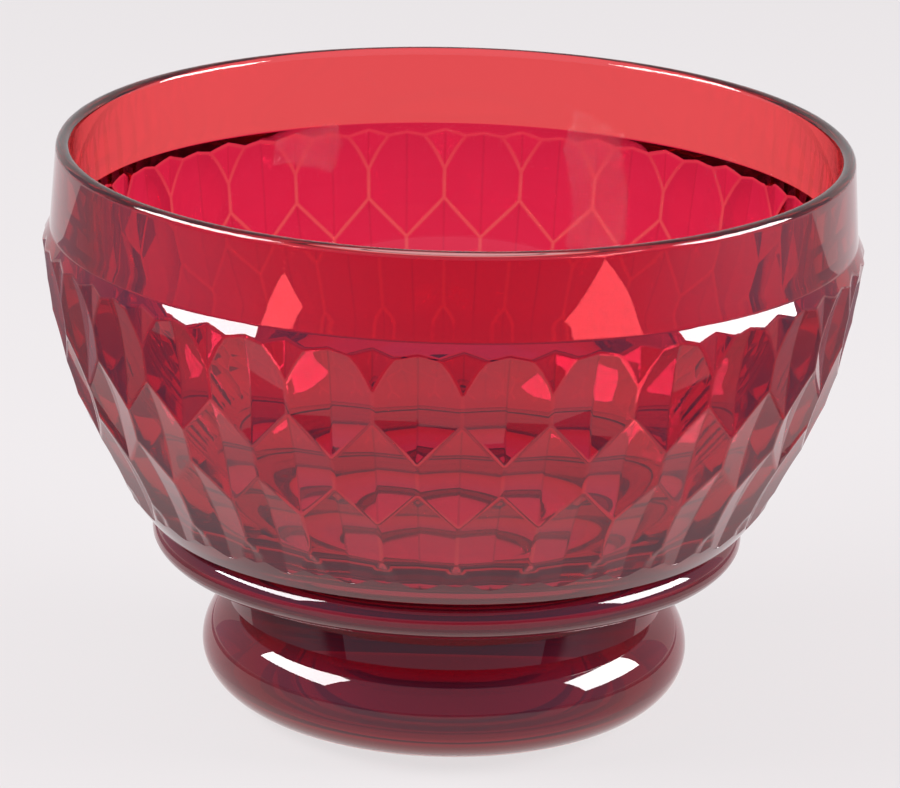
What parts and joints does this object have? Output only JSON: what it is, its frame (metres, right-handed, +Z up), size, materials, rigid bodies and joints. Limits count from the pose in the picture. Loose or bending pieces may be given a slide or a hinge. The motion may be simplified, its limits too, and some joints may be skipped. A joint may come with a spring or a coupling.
{
  "type": "dessert bowl",
  "caption": "Footed dessert bowl in clear pressed glass under a see-through ruby coat, with a plain rim band over a honeycomb of pressed cells, a turned collar and a heavy round foot.",
  "frame": {"origin": "on the table under the bowl's axis, in the middle of the resting ring", "axes": "+Z up along the bowl's axis, -Y towards the front through the middle of one tall cell, +X to the right"},
  "size_m": [0.1158, 0.1158, 0.082],
  "materials": {
    "bowl_glass": "clear soda-lime glass, pressed and fire-polished, with a thin see-through ruby coat on the outside that is paler over the band and along the edges",
    "foot_glass": "clear soda-lime glass, pressed and fire-polished, with the same ruby coat all round, which looks dark because light passes it twice or more"
  },
  "bodies": {
    "root": {"bowl": "bowl_glass", "foot": "foot_glass"}
  },
  "joints": []
}
